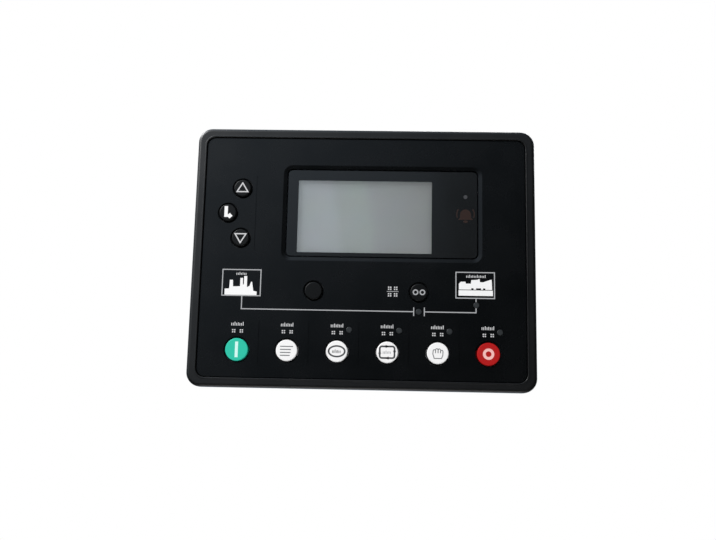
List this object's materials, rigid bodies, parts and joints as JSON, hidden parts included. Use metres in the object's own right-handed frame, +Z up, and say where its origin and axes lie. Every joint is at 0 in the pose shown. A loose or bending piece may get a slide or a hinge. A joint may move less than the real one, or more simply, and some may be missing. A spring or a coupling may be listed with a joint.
{
  "type": "genset controller",
  "caption": "Panel-mounted generator set controller: rimmed bezel with a display window, round sprung keys and indicators, and a stepped rear housing with pull-off terminals.",
  "frame": {"origin": "centre of the panel seat, on the plane of the gasket's rear face", "axes": "+X to the right of the face as the picture shows it, +Y into the panel, away from the face, +Z up"},
  "size_m": [0.242, 0.0524, 0.186],
  "materials": {
    "bezel_abs": "fine moulded grain",
    "fascia_print": "satin printed plate",
    "lens_acrylic": "polished, smoky border",
    "gasket_foam": "closed-cell foam",
    "display_steel": "black pressed steel",
    "display_glass": "matt polariser",
    "diffuser_white": "white diffuser",
    "board_laminate": "green solder mask",
    "silicone_grey": "moulded silicone",
    "pipe_acrylic": "frosted acrylic",
    "lamp_white": "moulded lamp body",
    "chip_epoxy": "moulded epoxy",
    "connector_nylon": "moulded nylon",
    "relay_case": "moulded case",
    "can_sleeve": "shrunk sleeve",
    "choke_winding": "enamelled wire",
    "cell_steel": "nickel-plated",
    "socket_steel": "tinned steel",
    "header_nylon": "moulded nylon",
    "plug_nylon": "moulded nylon",
    "screw_steel": "zinc-plated",
    "housing_abs": "moulded grain",
    "key_black": "satin moulding",
    "key_white": "satin moulding",
    "key_green": "satin moulding",
    "key_red": "satin moulding"
  },
  "bodies": {
    "case": {"front_bezel": "bezel_abs", "fascia": "fascia_print", "display_lens": "lens_acrylic", "panel_gasket": "gasket_foam", "lcd_frame": "display_steel", "lcd_glass": "display_glass", "lcd_backlight": "diffuser_white", "display_board": "board_laminate", "key_mat": "silicone_grey", "light_pipes": "pipe_acrylic", "leds": "lamp_white", "processor": "chip_epoxy", "link_header": "connector_nylon", "link_socket": "connector_nylon", "terminal_board": "board_laminate", "relays": "relay_case", "sense_transformers": "chip_epoxy", "capacitors": "can_sleeve", "power_converter": "chip_epoxy", "inductor": "choke_winding", "battery_holder": "connector_nylon", "clock_battery": "cell_steel", "usb_socket": "socket_steel", "header_inputs": "header_nylon", "header_outputs": "header_nylon", "header_sensors": "header_nylon", "header_supply": "header_nylon", "header_bus": "header_nylon", "header_current": "header_nylon", "plug_inputs": "plug_nylon", "plug_outputs": "plug_nylon", "plug_sensors": "plug_nylon", "plug_supply": "plug_nylon", "plug_bus": "plug_nylon", "plug_current": "plug_nylon", "terminal_screws": "screw_steel", "rear_housing": "housing_abs", "housing_screws": "screw_steel", "board_screws": "screw_steel"},
    "key_up": {"key_up": "key_black"},
    "key_enter": {"key_enter": "key_black"},
    "key_down": {"key_down": "key_black"},
    "key_blank": {"key_blank": "key_black"},
    "key_breaker": {"key_breaker": "key_black"},
    "key_start": {"key_start": "key_green"},
    "key_menu": {"key_menu": "key_white"},
    "key_diagnostic": {"key_diagnostic": "key_white"},
    "key_auto": {"key_auto": "key_white"},
    "key_manual": {"key_manual": "key_white"},
    "key_stop": {"key_stop": "key_red"}
  },
  "joints": [
    {"name": "key_up_press", "type": "slide", "parent": "case", "child": "key_up", "axis": [0, 1, 0], "range_m": [0, 0.0012], "stiffness_N_per_m": 900, "deforming": ["key_mat"]},
    {"name": "key_enter_press", "type": "slide", "parent": "case", "child": "key_enter", "axis": [0, 1, 0], "range_m": [0, 0.0012], "stiffness_N_per_m": 900, "deforming": ["key_mat"]},
    {"name": "key_down_press", "type": "slide", "parent": "case", "child": "key_down", "axis": [0, 1, 0], "range_m": [0, 0.0012], "stiffness_N_per_m": 900, "deforming": ["key_mat"]},
    {"name": "key_blank_press", "type": "slide", "parent": "case", "child": "key_blank", "axis": [0, 1, 0], "range_m": [0, 0.0012], "stiffness_N_per_m": 900, "deforming": ["key_mat"]},
    {"name": "key_breaker_press", "type": "slide", "parent": "case", "child": "key_breaker", "axis": [0, 1, 0], "range_m": [0, 0.0012], "stiffness_N_per_m": 900, "deforming": ["key_mat"]},
    {"name": "key_start_press", "type": "slide", "parent": "case", "child": "key_start", "axis": [0, 1, 0], "range_m": [0, 0.0012], "stiffness_N_per_m": 900, "deforming": ["key_mat"]},
    {"name": "key_menu_press", "type": "slide", "parent": "case", "child": "key_menu", "axis": [0, 1, 0], "range_m": [0, 0.0012], "stiffness_N_per_m": 900, "deforming": ["key_mat"]},
    {"name": "key_diagnostic_press", "type": "slide", "parent": "case", "child": "key_diagnostic", "axis": [0, 1, 0], "range_m": [0, 0.0012], "stiffness_N_per_m": 900, "deforming": ["key_mat"]},
    {"name": "key_auto_press", "type": "slide", "parent": "case", "child": "key_auto", "axis": [0, 1, 0], "range_m": [0, 0.0012], "stiffness_N_per_m": 900, "deforming": ["key_mat"]},
    {"name": "key_manual_press", "type": "slide", "parent": "case", "child": "key_manual", "axis": [0, 1, 0], "range_m": [0, 0.0012], "stiffness_N_per_m": 900, "deforming": ["key_mat"]},
    {"name": "key_stop_press", "type": "slide", "parent": "case", "child": "key_stop", "axis": [0, 1, 0], "range_m": [0, 0.0012], "stiffness_N_per_m": 900, "deforming": ["key_mat"]}
  ]
}
